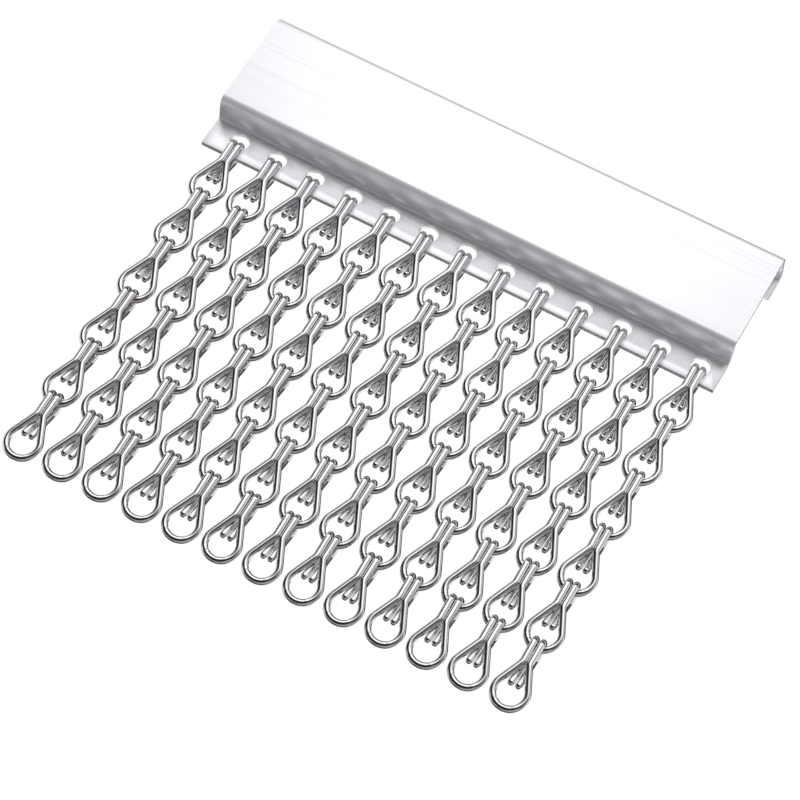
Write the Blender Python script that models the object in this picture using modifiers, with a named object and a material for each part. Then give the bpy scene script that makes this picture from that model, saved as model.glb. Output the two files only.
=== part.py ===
"""Aluminium chain curtain: a short header rail with thirteen strands of wire links.

Frame: metres, +Z up, +X along the rail, the front of the curtain faces -Y.
The origin is the middle of the rail's rear mounting face.
"""

import math

import bmesh
import bpy
from mathutils import Vector

MM = 0.001

# Curtain: strands along the rail, and the links of one strand by the piece that carries them
STRAND_COUNT = 13
STRAND_GAP = 1.25 * MM
LINK_GROUPS = ((1,), (2,), (3, 4), (5, 6))

# Rail: one folded sheet section
RAIL_SHEET = 1.5 * MM
RAIL_DEPTH = 15.4 * MM
RAIL_FACE_HEIGHT = 37.8 * MM
RAIL_TOP_RISE = 3.9 * MM
RAIL_BACK_HEIGHT = 10.4 * MM
RAIL_STEP_DEPTH = 9.5 * MM
RAIL_BEND_RADIUS = 2.6 * MM
RAIL_CREASE_RADIUS = 0.4 * MM

# Holes for the top links, drilled along the flange
HOLE_DIAMETER = 6.2 * MM
HOLE_LIP = 3.1 * MM
HOLE_HEADROOM = 1.7 * MM
FIRST_HOLE_MARGIN = 10.1 * MM
LAST_HOLE_MARGIN = 6.9 * MM
CUT_OVERRUN = 1.0 * MM

# Link: one length of round wire bent to a pear-shaped loop with a double hook
WIRE_DIAMETER = 2.1 * MM
LINK_PITCH = 21.2 * MM
LOOP_RADIUS = 4.95 * MM
HOOK_RADIUS = 2.65 * MM
HOOK_SPLAY = 0.12 * MM
NECK_WIRE_GAP = 0.1 * MM
NECK_LENGTH = 6.6 * MM
LEG_KNEE_DROP = 2.2 * MM
LEG_KNEE_SETBACK = 5.0 * MM
TIP_RISE = 2.1 * MM
TIP_REACH = 0.6 * MM
TIP_WIRE_GAP = 0.3 * MM
SEAT_GAP = 0.25 * MM
SEAT_WELD = 0.12 * MM
STRIP_GAP = 0.25 * MM
MERGE_DISTANCE = 0.001 * MM

# Facets of the curved stretches
BEND_STEPS = 3
HOLE_SIDES = 12
LOOP_STEPS = 7
HOOK_STEPS = 3
WIRE_BEVEL_RESOLUTION = 0

# The strands' spacing, and the rail that is cut and drilled to suit it
STRAND_PITCH = 2 * LOOP_RADIUS + WIRE_DIAMETER + STRAND_GAP
RAIL_LENGTH = FIRST_HOLE_MARGIN + (STRAND_COUNT - 1) * STRAND_PITCH + LAST_HOLE_MARGIN
RAIL_FLANGE_HEIGHT = HOLE_LIP + HOLE_DIAMETER + HOLE_HEADROOM

# Heights and depths of the rail, from the middle of its rear face
BACK_TOP_Z = RAIL_BACK_HEIGHT / 2
FACE_TOP_Z = BACK_TOP_Z - RAIL_TOP_RISE
STEP_Z = FACE_TOP_Z - RAIL_FACE_HEIGHT
EDGE_Z = STEP_Z - RAIL_FLANGE_HEIGHT
FACE_Y = -RAIL_DEPTH
FLANGE_FRONT_Y = FACE_Y + RAIL_STEP_DEPTH
FLANGE_MIDDLE_Y = FLANGE_FRONT_Y + RAIL_SHEET / 2
HOLE_Z = EDGE_Z + HOLE_LIP + HOLE_DIAMETER / 2

# Half the turn between two stretches of the hook, and of the loop from side to side
HOOK_HALF_TURN = math.pi / HOOK_STEPS / 2
SIDE_LEAN = math.asin(LOOP_RADIUS / (LINK_PITCH - LOOP_RADIUS - NECK_LENGTH))
LOOP_HALF_TURN = (math.pi / 2 + SIDE_LEAN) / LOOP_STEPS

# Heights within a link, from the centre of the wire that its hook hangs on
WIRE_RADIUS = WIRE_DIAMETER / 2
NECK_HALF_WIDTH = WIRE_RADIUS + NECK_WIRE_GAP / 2
TIP_HALF_WIDTH = WIRE_RADIUS + TIP_WIRE_GAP / 2
HOOK_INSIDE_Z = WIRE_RADIUS * math.cos(LOOP_HALF_TURN) + SEAT_GAP
HOOK_TOP_Z = HOOK_INSIDE_Z + WIRE_RADIUS * math.cos(HOOK_HALF_TURN)
HOOK_CENTRE_Z = HOOK_TOP_Z - HOOK_RADIUS * math.cos(HOOK_HALF_TURN)
WAIST_Z = HOOK_CENTRE_Z - NECK_LENGTH
LOOP_CENTRE_Z = LOOP_RADIUS * math.cos(LOOP_HALF_TURN) - LINK_PITCH
TIP_Z = LOOP_CENTRE_Z + TIP_RISE
WELDED_PITCH = LINK_PITCH + SEAT_GAP + SEAT_WELD


def clear_scene():
    for item in list(bpy.data.objects):
        bpy.data.objects.remove(item, do_unlink=True)


def new_collection(name):
    collection = bpy.data.collections.new(name)
    bpy.context.scene.collection.children.link(collection)
    return collection


def make_material(name, colour, roughness):
    material = bpy.data.materials.new(name)
    material.use_nodes = True
    shader = material.node_tree.nodes["Principled BSDF"]
    shader.inputs["Base Color"].default_value = (*colour, 1.0)
    shader.inputs["Roughness"].default_value = roughness
    shader.inputs["Metallic"].default_value = 1.0
    return material


def rail_material():
    return make_material("satin_anodised_rail", (0.86, 0.87, 0.89), 0.38)


def link_material():
    return make_material("bright_anodised_wire", (0.83, 0.82, 0.83), 0.14)


def set_aside(item, cutters):
    """Keep a piece that only shapes another one out of the model."""
    item.hide_render = True
    item.display_type = "WIRE"
    for owner in list(item.users_collection):
        owner.objects.unlink(item)
    cutters.objects.link(item)


def add_curve(name, path, dimensions, collection):
    """An open curve of straight stretches along a path of 2D or 3D points."""
    curve = bpy.data.curves.new(name, "CURVE")
    curve.dimensions = dimensions
    spline = curve.splines.new("POLY")
    spline.points.add(len(path) - 1)
    for point, place in zip(spline.points, path):
        point.co = (*place.to_3d(), 1.0)
    item = bpy.data.objects.new(name, curve)
    collection.objects.link(item)
    return item


def mesh_from_curve(item, collection):
    """Replace a curve object by a mesh object with its caps welded on."""
    name = item.name
    bpy.context.view_layer.update()
    evaluated = item.evaluated_get(bpy.context.evaluated_depsgraph_get())
    mesh = bpy.data.meshes.new_from_object(evaluated)
    shape = bmesh.new()
    shape.from_mesh(mesh)
    bmesh.ops.remove_doubles(shape, verts=shape.verts, dist=MERGE_DISTANCE)
    shape.to_mesh(mesh)
    shape.free()
    result = bpy.data.objects.new(name, mesh)
    result.matrix_world = item.matrix_world.copy()
    bpy.data.objects.remove(item, do_unlink=True)
    result.name = name
    collection.objects.link(result)
    return result


def rounded_path(corners, radii, steps):
    """An open path whose inner corners are rounded to the given radii."""
    points = [corners[0]]
    for before, corner, after, radius in zip(corners, corners[1:], corners[2:], radii):
        back = (before - corner).normalized()
        ahead = (after - corner).normalized()
        half_angle = back.angle(ahead) / 2
        centre = corner + (back + ahead).normalized() * radius / math.sin(half_angle)
        start = corner + back * radius / math.tan(half_angle) - centre
        end = corner + ahead * radius / math.tan(half_angle) - centre
        for step in range(steps + 1):
            points.append(centre + radius * start.slerp(end, step / steps).normalized())
    return points + [corners[-1]]


def rail_profile():
    """The sheet's outer side, from the back edge over the face to the flange's edge."""
    corners = [
        Vector((0, BACK_TOP_Z - RAIL_BACK_HEIGHT)),
        Vector((0, BACK_TOP_Z)),
        Vector((FACE_Y, FACE_TOP_Z)),
        Vector((FACE_Y, STEP_Z)),
        Vector((FLANGE_FRONT_Y, STEP_Z)),
        Vector((FLANGE_FRONT_Y, EDGE_Z)),
    ]
    radii = (RAIL_BEND_RADIUS, RAIL_BEND_RADIUS, RAIL_BEND_RADIUS, RAIL_CREASE_RADIUS)
    return rounded_path(corners, radii, BEND_STEPS)


def strand_x(strand):
    """Place along the rail of a strand, counted from 0 at the left."""
    return -RAIL_LENGTH / 2 + FIRST_HOLE_MARGIN + strand * STRAND_PITCH


def add_hole_cutters(cutters):
    for strand in range(STRAND_COUNT):
        bpy.ops.mesh.primitive_cylinder_add(
            vertices=HOLE_SIDES,
            radius=HOLE_DIAMETER / 2,
            depth=RAIL_SHEET + 2 * CUT_OVERRUN,
            location=(strand_x(strand), FLANGE_MIDDLE_Y, HOLE_Z),
            rotation=(math.pi / 2, 0, 0),
        )
        cutter = bpy.context.object
        cutter.name = f"hole_cutter_{strand + 1:02d}"
        set_aside(cutter, cutters)


def add_rail(collection, cutters):
    """The folded sheet, run along X and drilled for the strands."""
    section = add_curve("header_rail", rail_profile(), "2D", collection)
    section.data.fill_mode = "NONE"
    section.data.extrude = RAIL_LENGTH / 2
    section.rotation_euler = (math.pi / 2, 0, math.pi / 2)
    rail = mesh_from_curve(section, collection)
    sheet = rail.modifiers.new("sheet", "SOLIDIFY")
    sheet.thickness = RAIL_SHEET
    sheet.offset = 1
    sheet.use_even_offset = True
    holes = rail.modifiers.new("holes", "BOOLEAN")
    holes.operation = "DIFFERENCE"
    holes.operand_type = "COLLECTION"
    holes.collection = cutters
    rail.data.materials.append(rail_material())
    return rail


def plane_y(z):
    """Depth of a link's neck and loop, which lean back from the hook to the loop's low point."""
    lean = HOOK_RADIUS / (LINK_PITCH + HOOK_CENTRE_Z)
    return -lean * (z + LINK_PITCH)


def loop_points():
    """The pear, from the right-hand side of the waist round to the left-hand side."""
    points = []
    for step in range(LOOP_STEPS + 1):
        angle = SIDE_LEAN - 2 * LOOP_HALF_TURN * step
        z = LOOP_CENTRE_Z + LOOP_RADIUS * math.sin(angle)
        points.append(Vector((LOOP_RADIUS * math.cos(angle), plane_y(z), z)))
    return points


def hook_points():
    """The right-hand wire from its tip, up the rear leg and over the hook to the waist."""
    knee_z = HOOK_CENTRE_Z - LEG_KNEE_DROP
    points = [
        Vector((TIP_HALF_WIDTH, plane_y(TIP_Z) - TIP_REACH, TIP_Z)),
        Vector((NECK_HALF_WIDTH, plane_y(knee_z) + LEG_KNEE_SETBACK, knee_z)),
    ]
    for step in range(HOOK_STEPS + 1):
        angle = math.pi * step / HOOK_STEPS
        x = NECK_HALF_WIDTH + HOOK_SPLAY * math.sin(angle)
        y = HOOK_RADIUS * math.cos(angle)
        z = HOOK_CENTRE_Z + HOOK_RADIUS * math.sin(angle)
        points.append(Vector((x, y, z)))
    points.append(Vector((NECK_HALF_WIDTH, plane_y(WAIST_Z), WAIST_Z)))
    return points


def link_path():
    """The whole bent wire, from the right-hand tip round the loop to the left-hand tip."""
    right = hook_points()
    left = [Vector((-point.x, point.y, point.z)) for point in reversed(right)]
    return right + loop_points() + left


def add_link_wire(name, collection):
    """One link on its own, with the wire that it hangs on at the origin."""
    wire = add_curve(name, link_path(), "3D", collection)
    wire.data.bevel_depth = WIRE_RADIUS
    wire.data.bevel_resolution = WIRE_BEVEL_RESOLUTION
    wire.data.use_fill_caps = True
    link = mesh_from_curve(wire, collection)
    link.data.shade_smooth()
    return link


def run_length(group):
    """Distance from the hinge of a group of links to the hinge of the group below it."""
    return LINK_PITCH + (len(group) - 1) * WELDED_PITCH


def group_name(strand, group):
    word = "link" if len(group) == 1 else "links"
    numbers = "_".join(str(number) for number in group)
    return f"strand_{strand + 1:02d}_{word}_{numbers}"


def add_group(name, group, collection, cutters):
    """One link, or several that are joined where each hook bears on the loop above it."""
    top = add_link_wire(name, collection)
    for place in range(1, len(group)):
        lower = add_link_wire(f"{name}_lower_{place}", collection)
        lower.parent = top
        lower.location.z = -place * WELDED_PITCH
        set_aside(lower, cutters)
        weld = top.modifiers.new(f"seat_{place}", "BOOLEAN")
        weld.operation = "UNION"
        weld.object = lower
    return top


def top_hinge_z():
    """Height of the top links' hinges, whose two wires rest on the lower sides of the hole."""
    rise = NECK_HALF_WIDTH * math.tan(math.pi / HOLE_SIDES)
    return HOLE_Z - HOLE_DIAMETER / 2 + rise + STRIP_GAP - HOOK_INSIDE_Z


def main():
    clear_scene()
    curtain = new_collection("aluminium_chain_curtain")
    hole_cutters = new_collection("hole_cutters")
    link_cutters = new_collection("link_cutters")
    add_hole_cutters(hole_cutters)
    rail = add_rail(curtain, hole_cutters)
    wire_material = link_material()
    for strand in range(STRAND_COUNT):
        parent = rail
        hinge = Vector((strand_x(strand), FLANGE_MIDDLE_Y, top_hinge_z()))
        for group in LINK_GROUPS:
            piece = add_group(group_name(strand, group), group, curtain, link_cutters)
            piece.data.materials.append(wire_material)
            bpy.context.view_layer.update()
            piece.parent = parent
            piece.matrix_parent_inverse = parent.matrix_world.inverted()
            piece.location = hinge
            bpy.context.view_layer.update()
            parent = piece
            hinge = hinge - Vector((0, 0, run_length(group)))


main()
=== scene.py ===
import math
import random

import bmesh
import bpy
from mathutils import Matrix, Vector


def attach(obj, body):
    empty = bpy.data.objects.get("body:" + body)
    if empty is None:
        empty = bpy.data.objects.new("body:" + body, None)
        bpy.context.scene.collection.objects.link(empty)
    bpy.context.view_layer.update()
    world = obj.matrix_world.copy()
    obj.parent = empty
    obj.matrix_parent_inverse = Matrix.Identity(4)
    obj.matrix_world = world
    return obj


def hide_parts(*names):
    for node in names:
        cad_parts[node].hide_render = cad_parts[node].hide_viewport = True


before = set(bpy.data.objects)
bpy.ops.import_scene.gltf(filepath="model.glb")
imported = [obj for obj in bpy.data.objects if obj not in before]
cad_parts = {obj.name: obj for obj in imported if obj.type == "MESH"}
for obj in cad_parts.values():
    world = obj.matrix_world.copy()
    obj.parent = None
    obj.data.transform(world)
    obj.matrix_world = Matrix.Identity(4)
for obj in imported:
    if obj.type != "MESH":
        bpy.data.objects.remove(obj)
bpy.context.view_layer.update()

MM = 0.001

# Rail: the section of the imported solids, with finer bends and edges
RAIL_LENGTH = 176.0 * MM
RAIL_SHEET = 1.5 * MM
RAIL_DEPTH = 15.4 * MM
BACK_TOP_Z = 5.2 * MM
BACK_BOTTOM_Z = -5.2 * MM
FACE_TOP_Z = 1.3 * MM
STEP_Z = -36.5 * MM
EDGE_Z = -47.5 * MM
FLANGE_FRONT_Y = -5.9 * MM
BEND_RADIUS = 2.6 * MM
REAR_BEND_RADIUS = 2.95 * MM
CREASE_RADIUS = 0.5 * MM
FOLD_TOLERANCE = 0.02 * MM
BEND_SEGMENTS = 10
HOLE_RADIUS = 3.1 * MM
HOLE_Z = -41.3 * MM
HOLE_SIDES = 48
PUNCH_DEPTH = 4 * RAIL_SHEET
EDGE_ROUNDING = 0.18 * MM
EDGE_SEGMENTS = 2
EDGE_ANGLE = math.radians(50)
SMOOTH_ANGLE = math.radians(30)
BEAD_RADIUS = 0.16 * MM
BEAD_SIDES = 16
BEAD_END_GAP = 2 * EDGE_ROUNDING
BEAD_REACH = 1.02
UNDERSIDE_SLOPE = -0.3

# Strands along the rail
STRAND_COUNT = 13
STRAND_PITCH = 13.25 * MM
FIRST_STRAND_X = -77.9 * MM
STRAND_Y = -5.15 * MM
TOP_PIVOT_Z = -45.09 * MM
LINK_GROUPS = ((1,), (2,), (3, 4), (5, 6))

# Link: heights are from the centre of the wire that its hook hangs on
WIRE_RADIUS = 1.05 * MM
LINK_PITCH = 21.2 * MM
LOOP_RADIUS = 4.95 * MM
HOOK_RADIUS = 2.7 * MM
HOOK_CENTRE_Z = -0.133 * MM
HOOK_SPLAY = 0.12 * MM
HOOK_ROUNDING = 0.97 * HOOK_RADIUS
NECK_HALF_WIDTH = 1.08 * MM
WAIST_Z = -6.7 * MM
WAIST_RADIUS = 3.0 * MM
WAIST_FORWARD = 0.35 * MM
KNEE_Z = -2.35 * MM
KNEE_SETBACK = 5.0 * MM
KNEE_RADIUS = 4.5 * MM
TIP_Z = -14.37 * MM
TIP_HALF_WIDTH = 1.2 * MM
TIP_REACH = 0.6 * MM
ARC_STEP = math.radians(9)
WIRE_BEVEL_STEPS = 6
MERGE_DISTANCE = 0.001 * MM
TIP_RINGS = 5
TIP_FLAT_DEGREES = 8

# Pitch of a pair that rides on one node: as its solids are joined, and as its round wire is placed
WELDED_PITCH = 21.57 * MM
SEATED_PITCH = 21.5 * MM

# How far each link hangs out of true, and the seed of that spread
LINK_TURN = math.radians(2)
LINK_SWAY = math.radians(0.2)
HANG_SEED = 7

# Floor, camera and lamps
FLOOR_SIZE = 12
FLOOR_Z = -0.66
FLOOR_LIFT = 0.35
OBJECT_MIDDLE_Z = -60 * MM
FILL_DISTANCE = 0.5
CAMERA_PLACE = Vector((0.18674, -0.79637, -0.56780))
CAMERA_FORWARD = Vector((-0.18976713, 0.84438671, 0.50099852))
CAMERA_UP = Vector((-0.43716557, -0.52956478, 0.72694388))
CAMERA_LENS = 142.84
CAMERA_SENSOR = 36
CAMERA_NEAR = 0.01
SURROUND_COLOUR = (0.735, 0.735, 0.743, 1.0)

# What the metal mirrors, fitted to the tones of the photographed wire: side, inner and outer angle
# in degrees, and colour. Later ones lie over earlier ones.
STUDIO_PATCHES = (
    ((0.279, 0.776, -0.566), 51, 76, (0.020, 0.018, 0.020)),  # dark, low behind
    ((-0.859, -0.491, 0.148), 21, 29, (0.020, 0.020, 0.020)),  # dark card, left
    ((-0.591, -0.425, -0.686), 1, 14, (1.20, 1.18, 1.20)),  # small bright spot, low left
    ((-0.765, -0.278, -0.582), 12, 25, (0.09, 0.082, 0.09)),  # dark card, low left
    ((0.585, 0.727, 0.360), 19, 46, (1.20, 1.19, 1.20)),  # bright box, behind on the right
    ((-0.109, -0.770, 0.629), 20, 38, (1.25, 1.23, 1.25)),  # bright box, high in front
    ((0.465, -0.388, -0.796), 32, 73, (0.40, 0.365, 0.40)),  # grey, low right
    ((-0.018, -0.962, -0.273), 4, 34, (0.25, 0.235, 0.25)),  # dim, in front
    ((-0.009, 0.322, 0.947), 49, 53, (0.08, 0.075, 0.07)),  # dark ceiling
    ((0.722, -0.691, -0.026), 17, 30, (0.14, 0.13, 0.14)),  # dark card, front right
    ((0.658, -0.560, 0.504), 8, 15, (0.35, 0.32, 0.34)),  # small grey card, high front right
    ((0.942, -0.274, 0.195), 0, 21, (0.51, 0.47, 0.50)),  # grey card, right
    ((-0.195, -0.842, -0.504), 38, 48, (0.03, 0.028, 0.03)),  # dark room, low in front
    ((-0.185, -0.844, 0.503), 14, 28, (1.30, 1.30, 1.31)),  # bright box that the rail's face mirrors
)


def deselect():
    """Leaves edit mode and selects nothing."""
    if bpy.context.object and bpy.context.object.mode != "OBJECT":
        bpy.ops.object.mode_set(mode="OBJECT")
    bpy.ops.object.select_all(action="DESELECT")


def only(obj):
    """Makes one object the selected and active one."""
    deselect()
    obj.select_set(True)
    bpy.context.view_layer.objects.active = obj


def select_edges(obj, wanted):
    """Selects the edges of a mesh in edit mode whose two end points pass the test."""
    bpy.ops.mesh.select_mode(type="EDGE")
    bpy.ops.mesh.select_all(action="DESELECT")
    shape = bmesh.from_edit_mesh(obj.data)
    for edge in shape.edges:
        if all(wanted(vert.co) for vert in edge.verts):
            edge.select_set(True)
    bmesh.update_edit_mesh(obj.data)


def near(value, target):
    """Whether two heights or depths are the same."""
    return abs(value - target) < FOLD_TOLERANCE


# Materials


def new_material(name):
    """A material with its node tree and its shader."""
    material = bpy.data.materials.new(name)
    material.use_nodes = True
    return material, material.node_tree, material.node_tree.nodes["Principled BSDF"]


def node(tree, kind, **inputs):
    """A new node with the values of some of its inputs."""
    made = tree.nodes.new(kind)
    for key, value in inputs.items():
        made.inputs[key.replace("_", " ")].default_value = value
    return made


def stretched_noise(tree, stretch, scale, detail=3.0, coordinate="Object"):
    """Noise drawn out by a different amount along each axis."""
    place = tree.nodes.new("ShaderNodeTexCoord")
    mapping = node(tree, "ShaderNodeMapping", Scale=stretch)
    noise = node(tree, "ShaderNodeTexNoise", Scale=scale, Detail=detail)
    tree.links.new(place.outputs[coordinate], mapping.inputs["Vector"])
    tree.links.new(mapping.outputs["Vector"], noise.inputs["Vector"])
    return noise


def ramp(tree, source, stops):
    """Turns a value into the colours of the stops."""
    made = tree.nodes.new("ShaderNodeValToRGB")
    elements = made.color_ramp.elements
    while len(elements) < len(stops):
        elements.new(0.5)
    for element, (place, colour) in zip(elements, stops):
        element.position = place
        element.color = (*colour, 1.0)
    tree.links.new(source, made.inputs["Fac"])
    return made


def between(tree, source, low, high):
    """Spreads a value from 0 to 1 between low and high."""
    made = node(tree, "ShaderNodeMapRange")
    made.inputs["To Min"].default_value = low
    made.inputs["To Max"].default_value = high
    tree.links.new(source, made.inputs["Value"])
    return made


def wire_material():
    """Bright anodised wire: polished, with faint lines drawn along it."""
    material, tree, shader = new_material("bright_wire")
    shader.inputs["Metallic"].default_value = 1.0
    lines = stretched_noise(tree, (1.2, 9.0, 1.0), 3.0, 2.0, "UV")
    tint = ramp(tree, lines.outputs["Fac"], ((0.3, (0.80, 0.79, 0.81)), (0.7, (0.90, 0.895, 0.90))))
    tree.links.new(tint.outputs["Color"], shader.inputs["Base Color"])
    blotch = stretched_noise(tree, (1.0, 1.0, 1.0), 160.0, 3.0)
    rough = between(tree, blotch.outputs["Fac"], 0.03, 0.09)
    tree.links.new(rough.outputs["Result"], shader.inputs["Roughness"])
    bump = node(tree, "ShaderNodeBump", Strength=0.08, Distance=0.00002)
    tree.links.new(lines.outputs["Fac"], bump.inputs["Height"])
    tree.links.new(bump.outputs["Normal"], shader.inputs["Normal"])
    return material


def rail_material():
    """Satin anodised sheet with a few faint drawn lines along its length."""
    material, tree, shader = new_material("satin_sheet")
    shader.inputs["Metallic"].default_value = 0.62
    lines = stretched_noise(tree, (0.8, 160.0, 160.0), 12.0, 4.0)
    tint = ramp(tree, lines.outputs["Fac"], ((0.58, (0.925, 0.935, 0.95)), (0.66, (0.85, 0.87, 0.91))))
    tree.links.new(tint.outputs["Color"], shader.inputs["Base Color"])
    rough = between(tree, lines.outputs["Fac"], 0.34, 0.44)
    tree.links.new(rough.outputs["Result"], shader.inputs["Roughness"])
    grain = stretched_noise(tree, (0.06, 1.0, 1.0), 6000.0, 2.0)
    bump = node(tree, "ShaderNodeBump", Strength=0.2, Distance=0.00002)
    tree.links.new(grain.outputs["Fac"], bump.inputs["Height"])
    tree.links.new(bump.outputs["Normal"], shader.inputs["Normal"])
    return material


def cut_edge_material():
    """Painted shade: a darker colour on the downward faces of the flange's lower edge, with faint lines
    across it.
    """
    material, tree, shader = new_material("painted_shade_edge")
    shader.inputs["Metallic"].default_value = 0.8
    marks = stretched_noise(tree, (30.0, 1.0, 1.0), 60.0, 3.0)
    tint = ramp(tree, marks.outputs["Fac"], ((0.35, (0.40, 0.39, 0.40)), (0.7, (0.55, 0.54, 0.55))))
    tree.links.new(tint.outputs["Color"], shader.inputs["Base Color"])
    rough = between(tree, marks.outputs["Fac"], 0.4, 0.55)
    tree.links.new(rough.outputs["Result"], shader.inputs["Roughness"])
    return material


def bead_material():
    """Painted highlight: a pale, matte line on the bead along the crease."""
    material, tree, shader = new_material("painted_highlight_bead")
    patches = stretched_noise(tree, (1.0, 20.0, 20.0), 60.0, 3.0)
    tint = ramp(tree, patches.outputs["Fac"], ((0.3, (0.86, 0.87, 0.89)), (0.7, (0.95, 0.95, 0.96))))
    tree.links.new(tint.outputs["Color"], shader.inputs["Base Color"])
    rough = between(tree, patches.outputs["Fac"], 0.4, 0.6)
    tree.links.new(rough.outputs["Result"], shader.inputs["Roughness"])
    return material


# Rail


def pull_out(obj, wanted, move):
    """Extrudes the sheet's open edge that passes the test."""
    select_edges(obj, wanted)
    bpy.ops.mesh.extrude_region_move(TRANSFORM_OT_translate={"value": move})


def round_fold(obj, y, z, radius, turn):
    """Rounds the fold that runs along the sheet at y, z."""
    select_edges(obj, lambda co: near(co.y, y) and near(co.z, z))
    bpy.ops.mesh.bevel(
        offset_type="OFFSET",
        offset=radius * math.tan(turn / 2),
        segments=BEND_SEGMENTS,
        profile=0.5,
        affect="EDGES",
    )


def cut_holes(rail):
    """Drills one hole in the flange for each strand."""
    for strand in range(STRAND_COUNT):
        deselect()
        bpy.ops.mesh.primitive_cylinder_add(
            vertices=HOLE_SIDES,
            radius=HOLE_RADIUS,
            depth=PUNCH_DEPTH,
            location=(FIRST_STRAND_X + strand * STRAND_PITCH, STRAND_Y, HOLE_Z),
            rotation=(math.pi / 2, 0, 0),
        )
        punch = bpy.context.object
        only(rail)
        hole = rail.modifiers.new("hole", "BOOLEAN")
        hole.operation = "DIFFERENCE"
        hole.solver = "EXACT"
        hole.object = punch
        bpy.ops.object.modifier_apply(modifier=hole.name)
        bpy.data.objects.remove(punch, do_unlink=True)


def crease_line():
    """Depth and height of the middle of the crease between step and flange."""
    inset = CREASE_RADIUS * (1 - math.sqrt(0.5))
    return FLANGE_FRONT_Y - inset, STEP_Z - inset


def add_crease_bead(rail):
    """Joins the fine bead that runs along the crease between step and flange."""
    crease_y, crease_z = crease_line()
    deselect()
    bpy.ops.mesh.primitive_cylinder_add(
        vertices=BEAD_SIDES,
        radius=BEAD_RADIUS,
        depth=RAIL_LENGTH - 2 * BEAD_END_GAP,
        location=(0, crease_y, crease_z),
        rotation=(0, math.pi / 2, 0),
    )
    bead = bpy.context.object
    only(rail)
    join = rail.modifiers.new("bead", "BOOLEAN")
    join.operation = "UNION"
    join.solver = "EXACT"
    join.object = bead
    bpy.ops.object.modifier_apply(modifier=join.name)
    bpy.data.objects.remove(bead, do_unlink=True)


def make_rail():
    """Folds a strip of sheet: back return, top return, face, step and flange."""
    deselect()
    bpy.ops.mesh.primitive_plane_add(
        size=1,
        location=(0, 0, (BACK_TOP_Z + BACK_BOTTOM_Z) / 2),
        rotation=(-math.pi / 2, 0, 0),
    )
    rail = bpy.context.object
    rail.name = "rail_sheet"
    rail.scale = (RAIL_LENGTH, BACK_TOP_Z - BACK_BOTTOM_Z, 1)
    bpy.ops.object.transform_apply(location=True, rotation=True, scale=True)
    bpy.ops.object.mode_set(mode="EDIT")
    face_y = -RAIL_DEPTH
    pull_out(rail, lambda co: near(co.z, BACK_TOP_Z), (0, face_y, FACE_TOP_Z - BACK_TOP_Z))
    pull_out(rail, lambda co: near(co.y, face_y), (0, 0, STEP_Z - FACE_TOP_Z))
    pull_out(rail, lambda co: near(co.z, STEP_Z), (0, FLANGE_FRONT_Y - face_y, 0))
    pull_out(
        rail,
        lambda co: near(co.z, STEP_Z) and near(co.y, FLANGE_FRONT_Y),
        (0, 0, EDGE_Z - STEP_Z),
    )
    pitch = math.atan2(BACK_TOP_Z - FACE_TOP_Z, RAIL_DEPTH)
    round_fold(rail, 0, BACK_TOP_Z, REAR_BEND_RADIUS, math.pi / 2 + pitch)
    round_fold(rail, face_y, FACE_TOP_Z, BEND_RADIUS, math.pi / 2 - pitch)
    round_fold(rail, face_y, STEP_Z, BEND_RADIUS, math.pi / 2)
    round_fold(rail, FLANGE_FRONT_Y, STEP_Z, CREASE_RADIUS, math.pi / 2)
    bpy.ops.mesh.select_all(action="SELECT")
    bpy.ops.mesh.normals_make_consistent(inside=False)
    bpy.ops.object.mode_set(mode="OBJECT")
    sheet = rail.modifiers.new("sheet", "SOLIDIFY")
    sheet.thickness = RAIL_SHEET
    sheet.offset = -1
    sheet.use_even_offset = True
    bpy.ops.object.modifier_apply(modifier=sheet.name)
    cut_holes(rail)
    only(rail)
    edges = rail.modifiers.new("edges", "BEVEL")
    edges.width = EDGE_ROUNDING
    edges.segments = EDGE_SEGMENTS
    edges.limit_method = "ANGLE"
    edges.angle_limit = EDGE_ANGLE
    bpy.ops.object.modifier_apply(modifier=edges.name)
    add_crease_bead(rail)
    bpy.ops.object.shade_smooth_by_angle(angle=SMOOTH_ANGLE)
    return rail


def finish_rail(rail):
    """Satin sheet, with painted shade on the lower edge's downward faces and a painted highlight on the
    bead.
    """
    rail.data.materials.clear()
    rail.data.materials.append(rail_material())
    rail.data.materials.append(cut_edge_material())
    rail.data.materials.append(bead_material())
    crease = Vector(crease_line())
    for face in rail.data.polygons:
        # The downward faces of the lower edge get the painted shade.
        if face.center.z < EDGE_Z + EDGE_ROUNDING and face.normal.z < UNDERSIDE_SLOPE:
            face.material_index = 1
        # The bead's faces get the painted highlight.
        if (face.center.yz - crease).length < BEAD_REACH * BEAD_RADIUS:
            face.material_index = 2


# Links


def plane_y(z):
    """Depth of a link's neck and loop, which lean back from the hook to the loop's low point."""
    return -HOOK_RADIUS * (z + LINK_PITCH) / (LINK_PITCH + HOOK_CENTRE_Z)


def rounded(corners, radii):
    """A path through the corners, each rounded to its radius, in steps of an even turn."""
    path = [corners[0]]
    for before, corner, after, radius in zip(corners, corners[1:], corners[2:], radii):
        back = (before - corner).normalized()
        ahead = (after - corner).normalized()
        half = back.angle(ahead) / 2
        centre = corner + (back + ahead).normalized() * radius / math.sin(half)
        start = corner + back * radius / math.tan(half) - centre
        end = corner + ahead * radius / math.tan(half) - centre
        steps = max(2, round((math.pi - 2 * half) / ARC_STEP))
        for step in range(steps + 1):
            path.append(centre + radius * start.slerp(end, step / steps).normalized())
    path.append(corners[-1])
    return path


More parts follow.
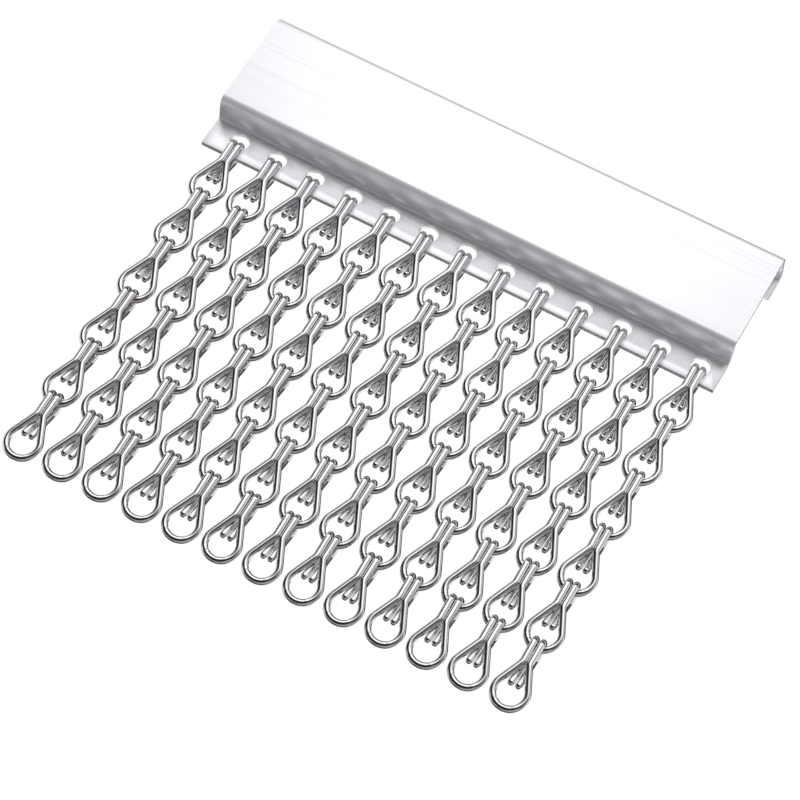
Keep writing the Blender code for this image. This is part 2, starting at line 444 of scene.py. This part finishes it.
def half_link():
    """Corners and radii of the right-hand half, from the tip to the loop's low point."""
    hook_top_z = HOOK_CENTRE_Z + HOOK_RADIUS
    loop_centre_z = LOOP_RADIUS - LINK_PITCH
    side_lean = math.asin(LOOP_RADIUS / math.hypot(WAIST_Z - loop_centre_z, NECK_HALF_WIDTH))
    side_lean -= math.atan2(NECK_HALF_WIDTH, WAIST_Z - loop_centre_z)
    third = (math.pi / 2 + side_lean) / 3
    reach = LOOP_RADIUS / math.cos(third)
    side = side_lean - third
    corners = [
        Vector((TIP_HALF_WIDTH, plane_y(TIP_Z) - TIP_REACH, TIP_Z)),
        Vector((NECK_HALF_WIDTH, plane_y(KNEE_Z) + KNEE_SETBACK, KNEE_Z)),
        Vector((NECK_HALF_WIDTH + HOOK_SPLAY, HOOK_RADIUS, hook_top_z)),
        Vector((NECK_HALF_WIDTH + HOOK_SPLAY, -HOOK_RADIUS, hook_top_z)),
        Vector((NECK_HALF_WIDTH, plane_y(WAIST_Z) - WAIST_FORWARD, WAIST_Z)),
    ]
    z = loop_centre_z + reach * math.sin(side)
    corners.append(Vector((reach * math.cos(side), plane_y(z), z)))
    radii = [KNEE_RADIUS, HOOK_ROUNDING, HOOK_ROUNDING, WAIST_RADIUS, LOOP_RADIUS]
    return corners, radii, reach, loop_centre_z


def link_path():
    """The whole wire from tip to tip: the right-hand half, the loop's low point and the mirrored half."""
    corners, radii, reach, centre_z = half_link()
    low = Vector((0, plane_y(centre_z - reach), centre_z - reach))
    mirrored = [Vector((-point.x, point.y, point.z)) for point in reversed(corners)]
    return rounded(corners + [low] + mirrored, radii + [LOOP_RADIUS] + radii[::-1])


def cut_end(end, inner):
    """Rings that round off a cut end, from the tip inwards, each with its share of the wire's radius."""
    way = (inner - end).normalized()
    rings = []
    for ring in range(TIP_RINGS + 1):
        turn = math.radians(TIP_FLAT_DEGREES + (90 - TIP_FLAT_DEGREES) * ring / TIP_RINGS)
        rings.append((end + way * WIRE_RADIUS * (1 - math.cos(turn)), math.sin(turn)))
    return rings


def make_link():
    """One wire link with its pivot at the origin."""
    path = link_path()
    body = [(point, 1.0) for point in path[1:-1]]
    sized = cut_end(path[0], path[1]) + body + cut_end(path[-1], path[-2])[::-1]
    curve = bpy.data.curves.new("link", "CURVE")
    curve.dimensions = "3D"
    curve.bevel_depth = WIRE_RADIUS
    curve.bevel_resolution = WIRE_BEVEL_STEPS
    curve.use_fill_caps = True
    spline = curve.splines.new("POLY")
    spline.points.add(len(sized) - 1)
    for point, (place, share) in zip(spline.points, sized):
        point.co = (*place, 1.0)
        point.radius = share
    wire = bpy.data.objects.new("link", curve)
    bpy.context.collection.objects.link(wire)
    only(wire)
    bpy.ops.object.convert(target="MESH")
    wire = bpy.context.object
    bpy.ops.object.mode_set(mode="EDIT")
    bpy.ops.mesh.select_all(action="SELECT")
    bpy.ops.mesh.remove_doubles(threshold=MERGE_DISTANCE)
    bpy.ops.mesh.normals_make_consistent(inside=False)
    bpy.ops.object.mode_set(mode="OBJECT")
    bpy.ops.object.shade_smooth()
    return wire


def group_name(strand, group):
    """Name of the node that carries these links of a strand."""
    word = "link" if len(group) == 1 else "links"
    return f"strand_{strand + 1:02d}_{word}_" + "_".join(str(number) for number in group)


def hang_links(template, material):
    """Copies the link to every place of every strand, each turned and swayed a little."""
    dice = random.Random(HANG_SEED)
    for strand in range(STRAND_COUNT):
        x = FIRST_STRAND_X + strand * STRAND_PITCH
        z = TOP_PIVOT_Z
        for group in LINK_GROUPS:
            body = group_name(strand, group)
            for place, number in enumerate(group):
                link = template.copy()
                link.data = template.data.copy()
                link.name = f"wire_link_{strand + 1:02d}_{number}"
                bpy.context.collection.objects.link(link)
                pivot = Vector((x, STRAND_Y, z - place * SEATED_PITCH))
                turn = Matrix.Rotation(dice.uniform(-LINK_TURN, LINK_TURN), 4, "Z")
                sway = Matrix.Rotation(dice.uniform(-LINK_SWAY, LINK_SWAY), 4, "Y")
                link.data.transform(Matrix.Translation(pivot) @ sway @ turn)
                link.data.materials.clear()
                link.data.materials.append(material)
                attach(link, body)
                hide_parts(body)
            z -= LINK_PITCH + (len(group) - 1) * WELDED_PITCH


# Surroundings


def make_floor():
    """Pale floor, lifted a little for the camera alone, and left out of what the metal mirrors."""
    deselect()
    bpy.ops.mesh.primitive_plane_add(size=FLOOR_SIZE, location=(0, 0, FLOOR_Z))
    floor = bpy.context.object
    floor.name = "studio_floor"
    material, tree, shader = new_material("pale_floor")
    shader.inputs["Base Color"].default_value = (0.86, 0.86, 0.87, 1)
    shader.inputs["Roughness"].default_value = 0.6
    shader.inputs["Emission Color"].default_value = (0.98, 0.98, 1.0, 1)
    path = tree.nodes.new("ShaderNodeLightPath")
    lift = node(tree, "ShaderNodeMath")
    lift.operation = "MULTIPLY"
    lift.inputs[1].default_value = FLOOR_LIFT
    tree.links.new(path.outputs["Is Camera Ray"], lift.inputs[0])
    tree.links.new(lift.outputs["Value"], shader.inputs["Emission Strength"])
    floor.data.materials.append(material)
    floor.visible_glossy = False


def mixed(tree, share, under, colour):
    """Lays a share of one colour over another."""
    over = tree.nodes.new("ShaderNodeMixRGB")
    over.inputs["Color2"].default_value = (*colour, 1.0)
    tree.links.new(share, over.inputs["Fac"])
    tree.links.new(under, over.inputs["Color1"])
    return over.outputs["Color"]


def patch(tree, way, under, side, inner, outer, colour):
    """Lays one colour over another where the way looks nearer to one side than the outer angle."""
    product = tree.nodes.new("ShaderNodeVectorMath")
    product.operation = "DOT_PRODUCT"
    product.inputs[1].default_value = side
    tree.links.new(way, product.inputs[0])
    share = tree.nodes.new("ShaderNodeMapRange")
    share.interpolation_type = "SMOOTHSTEP"
    share.inputs["From Min"].default_value = math.cos(outer)
    share.inputs["From Max"].default_value = math.cos(inner)
    tree.links.new(product.outputs["Value"], share.inputs["Value"])
    return mixed(tree, share.outputs["Result"], under, colour)


def make_world():
    """Pale surroundings with bright and dark sides that the metal mirrors. The camera itself sees white."""
    world = bpy.data.worlds.new("studio")
    bpy.context.scene.world = world
    world.use_nodes = True
    tree = world.node_tree
    background = tree.nodes["Background"]
    way = tree.nodes.new("ShaderNodeTexCoord").outputs["Generated"]
    plain = tree.nodes.new("ShaderNodeRGB")
    plain.outputs["Color"].default_value = SURROUND_COLOUR
    shade = plain.outputs["Color"]
    for side, inner, outer, colour in STUDIO_PATCHES:
        shade = patch(tree, way, shade, side, math.radians(inner), math.radians(outer), colour)
    path = tree.nodes.new("ShaderNodeLightPath")
    seen = mixed(tree, path.outputs["Is Camera Ray"], shade, (1.0, 1.0, 1.0))
    tree.links.new(seen, background.inputs["Color"])
    background.inputs["Strength"].default_value = 1.0


def add_fill(name, way, size, power):
    """A soft lamp towards one side, hidden from mirrored light so that it leaves no spot on the wire."""
    light = bpy.data.lights.new(name, "AREA")
    light.size = size
    light.energy = power
    lamp = bpy.data.objects.new(name, light)
    bpy.context.collection.objects.link(lamp)
    middle = Vector((0, 0, OBJECT_MIDDLE_Z))
    lamp.location = middle + Vector(way).normalized() * FILL_DISTANCE
    lamp.rotation_mode = "QUATERNION"
    lamp.rotation_quaternion = (middle - lamp.location).to_track_quat("-Z", "Y")
    lamp.visible_glossy = False
    lamp.visible_camera = False


def make_camera():
    """Camera at the photo's viewing angle, below and in front of the curtain."""
    camera = bpy.data.objects.new("camera", bpy.data.cameras.new("camera"))
    bpy.context.collection.objects.link(camera)
    camera.data.lens = CAMERA_LENS
    camera.data.sensor_width = CAMERA_SENSOR
    camera.data.clip_start = CAMERA_NEAR
    right = CAMERA_FORWARD.cross(CAMERA_UP)
    axes = Matrix((right, CAMERA_UP, -CAMERA_FORWARD)).transposed().to_4x4()
    camera.matrix_world = Matrix.Translation(CAMERA_PLACE) @ axes
    bpy.context.scene.camera = camera


def main():
    """Builds the curtain and its surroundings."""
    make_camera()
    make_floor()
    make_world()
    add_fill("front_fill", (-0.18, -0.84, 0.51), 0.2, 2.2)
    add_fill("low_rear_fill", (0.05, 0.60, -0.80), 0.3, 5.0)
    rail = make_rail()
    finish_rail(rail)
    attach(rail, "header_rail")
    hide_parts("header_rail")
    template = make_link()
    hang_links(template, wire_material())
    bpy.data.objects.remove(template, do_unlink=True)
    bpy.context.scene.view_settings.view_transform = "Standard"


main()
